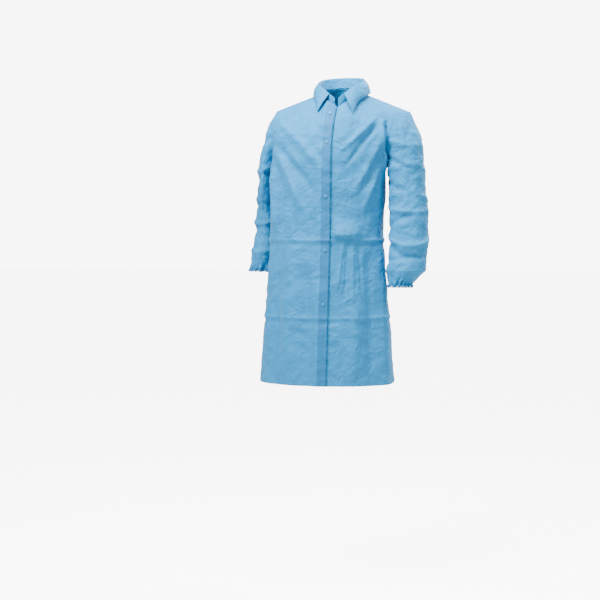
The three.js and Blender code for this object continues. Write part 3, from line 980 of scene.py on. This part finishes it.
# Name, place, power and size
LIGHTS = (
    ("key light", (-0.8, -1.4, 1.1), 130, 0.6),
    ("fill light", (2.6, -1.0, 1.6), 70, 1.2),
    ("top light", (0.1, -0.5, 1.3), 70, 0.9),
    ("back light", (0.9, 1.4, 0.9), 80, 0.9),
)


def floor_material():
    """A white floor that's lit as brightly as the wall where it's seen, so only soft shadows show."""
    mat = bpy.data.materials.new("White floor")
    mat.use_nodes = True
    nodes, links = mat.node_tree.nodes, mat.node_tree.links
    shader = nodes["Principled BSDF"]
    shader.inputs["Base Color"].default_value = (0.95, 0.95, 0.95, 1)
    shader.inputs["Roughness"].default_value = 0.9
    shader.inputs["Specular IOR Level"].default_value = 0.0
    glow = nodes.new("ShaderNodeEmission")
    seen = nodes.new("ShaderNodeLightPath")
    strength = nodes.new("ShaderNodeMath")
    strength.operation = "MULTIPLY"
    strength.inputs[1].default_value = FLOOR_BRIGHTNESS
    both = nodes.new("ShaderNodeAddShader")
    links.new(seen.outputs["Is Camera Ray"], strength.inputs[0])
    links.new(strength.outputs[0], glow.inputs["Strength"])
    links.new(shader.outputs["BSDF"], both.inputs[0])
    links.new(glow.outputs["Emission"], both.inputs[1])
    links.new(both.outputs["Shader"], nodes["Material Output"].inputs["Surface"])
    return mat


def make_stage():
    scene = bpy.context.scene
    bm = bmesh.new()
    bmesh.ops.create_grid(bm, x_segments=1, y_segments=1, size=FLOOR_SIZE)
    bmesh.ops.translate(bm, verts=bm.verts, vec=(0, 0, FLOOR_HEIGHT))
    mesh = bpy.data.meshes.new("floor")
    bm.to_mesh(mesh)
    bm.free()
    floor = bpy.data.objects.new("floor", mesh)
    scene.collection.objects.link(floor)
    mesh.materials.append(floor_material())

    world = bpy.data.worlds.new("Studio")
    world.use_nodes = True
    nodes, links = world.node_tree.nodes, world.node_tree.links
    background = nodes["Background"]
    background.inputs["Color"].default_value = (1, 1, 1, 1)
    background.inputs["Strength"].default_value = SOFT_LIGHT
    # The wall behind is seen brighter than the light that it gives, as with a lit white backdrop.
    wall = nodes.new("ShaderNodeBackground")
    wall.inputs["Color"].default_value = (1, 1, 1, 1)
    wall.inputs["Strength"].default_value = WALL_BRIGHTNESS
    seen = nodes.new("ShaderNodeLightPath")
    mixed = nodes.new("ShaderNodeMixShader")
    links.new(seen.outputs["Is Camera Ray"], mixed.inputs["Fac"])
    links.new(background.outputs["Background"], mixed.inputs[1])
    links.new(wall.outputs["Background"], mixed.inputs[2])
    links.new(mixed.outputs["Shader"], nodes["World Output"].inputs["Surface"])
    scene.world = world

    for name, place, power, size in LIGHTS:
        data = bpy.data.lights.new(name, "AREA")
        data.energy = power
        data.size = size
        light = bpy.data.objects.new(name, data)
        light.location = place
        aim = Vector(LIGHT_AIM) - Vector(place)
        light.rotation_euler = aim.to_track_quat("-Z", "Y").to_euler()
        scene.collection.objects.link(light)

    right = Vector((math.cos(CAMERA_AZIMUTH), math.sin(CAMERA_AZIMUTH), 0))
    toward = Vector(
        (
            math.sin(CAMERA_AZIMUTH) * math.cos(CAMERA_ELEVATION),
            -math.cos(CAMERA_AZIMUTH) * math.cos(CAMERA_ELEVATION),
            math.sin(CAMERA_ELEVATION),
        )
    )
    aim = right * AIM_ACROSS + Vector((0, 0, AIM_HEIGHT))
    data = bpy.data.cameras.new("camera")
    data.sensor_width = SENSOR_WIDTH
    data.lens = SENSOR_WIDTH * CAMERA_DISTANCE / FRAME_HEIGHT
    camera = bpy.data.objects.new("camera", data)
    camera.location = aim + toward * CAMERA_DISTANCE
    camera.rotation_euler = (-toward).to_track_quat("-Z", "Y").to_euler()
    scene.collection.objects.link(camera)
    scene.camera = camera


# ---- operators ----


class BuildBack(bpy.types.Operator):
    """Builds the back, with its soft vertical folds."""

    bl_idname = "lab_coat.back"
    bl_label = "Back"

    def execute(self, context):
        make_back()
        return {"FINISHED"}


class BuildFronts(bpy.types.Operator):
    """Builds both fronts, each with the facing behind its edge."""

    bl_idname = "lab_coat.fronts"
    bl_label = "Fronts"

    def execute(self, context):
        for side in ("right", "left"):
            make_front(side)
        return {"FINISHED"}


class BuildCollar(bpy.types.Operator):
    """Builds the collar's stand and its leaf with two wings."""

    bl_idname = "lab_coat.collar"
    bl_label = "Collar"

    def execute(self, context):
        make_collar()
        return {"FINISHED"}


class BuildSleeves(bpy.types.Operator):
    """Builds both sleeves and their gathered cuffs."""

    bl_idname = "lab_coat.sleeves"
    bl_label = "Sleeves"

    def execute(self, context):
        for side in ("right", "left"):
            make_sleeve(side)
        return {"FINISHED"}


class FinishSnaps(bpy.types.Operator):
    """Gives the snaps and the cuff elastics their materials."""

    bl_idname = "lab_coat.snaps"
    bl_label = "Snaps and elastics"

    def execute(self, context):
        finish_snaps()
        return {"FINISHED"}


class BuildStage(bpy.types.Operator):
    """Builds the floor, the lights and the camera."""

    bl_idname = "lab_coat.stage"
    bl_label = "Stage"

    def execute(self, context):
        make_stage()
        return {"FINISHED"}


OPERATORS = (BuildBack, BuildFronts, BuildCollar, BuildSleeves, FinishSnaps, BuildStage)


class LabCoatPanel(bpy.types.Panel):
    bl_idname = "VIEW3D_PT_lab_coat"
    bl_label = "Lab Coat"
    bl_space_type = "VIEW_3D"
    bl_region_type = "UI"
    bl_category = "Lab Coat"

    def draw(self, context):
        for name in ("cloth_thickness", "fold_depth", "cloth_colour", "doubled_shade_colour"):
            self.layout.prop(context.scene.lab_coat, name)
        for operator in OPERATORS:
            self.layout.operator(operator.bl_idname)


def register():
    for cls in (CoatSettings, *OPERATORS, LabCoatPanel):
        bpy.utils.register_class(cls)
    bpy.types.Scene.lab_coat = bpy.props.PointerProperty(type=CoatSettings)


def unregister():
    del bpy.types.Scene.lab_coat
    for cls in reversed((CoatSettings, *OPERATORS, LabCoatPanel)):
        bpy.utils.unregister_class(cls)


def main():
    register()
    bpy.ops.lab_coat.back()
    bpy.ops.lab_coat.fronts()
    bpy.ops.lab_coat.collar()
    bpy.ops.lab_coat.sleeves()
    bpy.ops.lab_coat.snaps()
    bpy.ops.lab_coat.stage()


if __name__ == "__main__":
    main()
